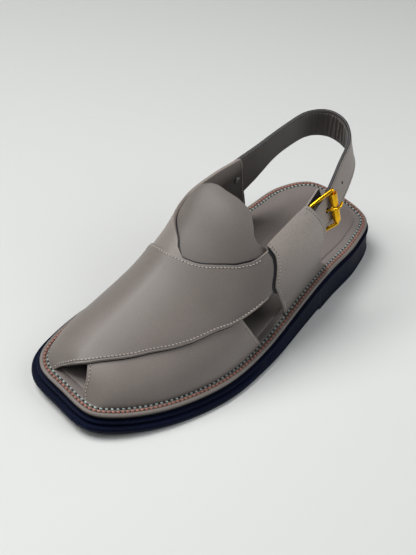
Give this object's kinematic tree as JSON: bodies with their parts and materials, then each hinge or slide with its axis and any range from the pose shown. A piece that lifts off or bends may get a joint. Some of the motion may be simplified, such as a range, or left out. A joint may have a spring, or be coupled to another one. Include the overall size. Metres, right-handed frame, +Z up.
{
  "type": "peshawari chappal",
  "caption": "Left peshawari chappal: crossed vamp straps, tongue and quarters on a welted rubber sole, with a buckled heel strap.",
  "frame": {"origin": "bottom centre of the shoe's bounding box, on the floor", "axes": "-Y to the toe, +Y to the heel, +X to the outer side of the left foot, +Z up"},
  "size_m": [0.1274, 0.3084, 0.1169],
  "materials": {
    "leather_grey": "smooth, softly glossy",
    "leather_footbed": "smooth",
    "leather_dark": "matt lining",
    "midsole_black": "matt",
    "rubber_navy": "matt",
    "buckle_gold": "polished, gold coloured",
    "rivet_steel": "dull"
  },
  "bodies": {
    "root": {"outsole": "rubber_navy", "midsole": "midsole_black", "welt": "leather_grey", "insole": "leather_footbed", "upper": "leather_grey", "tongue": "leather_grey", "heel_strap": "leather_grey", "buckle_guard": "leather_dark", "buckle_frame": "buckle_gold", "buckle_roller_upper": "buckle_gold", "buckle_roller_lower": "buckle_gold", "buckle_prong": "buckle_gold", "strap_rivet": "rivet_steel"}
  },
  "joints": []
}
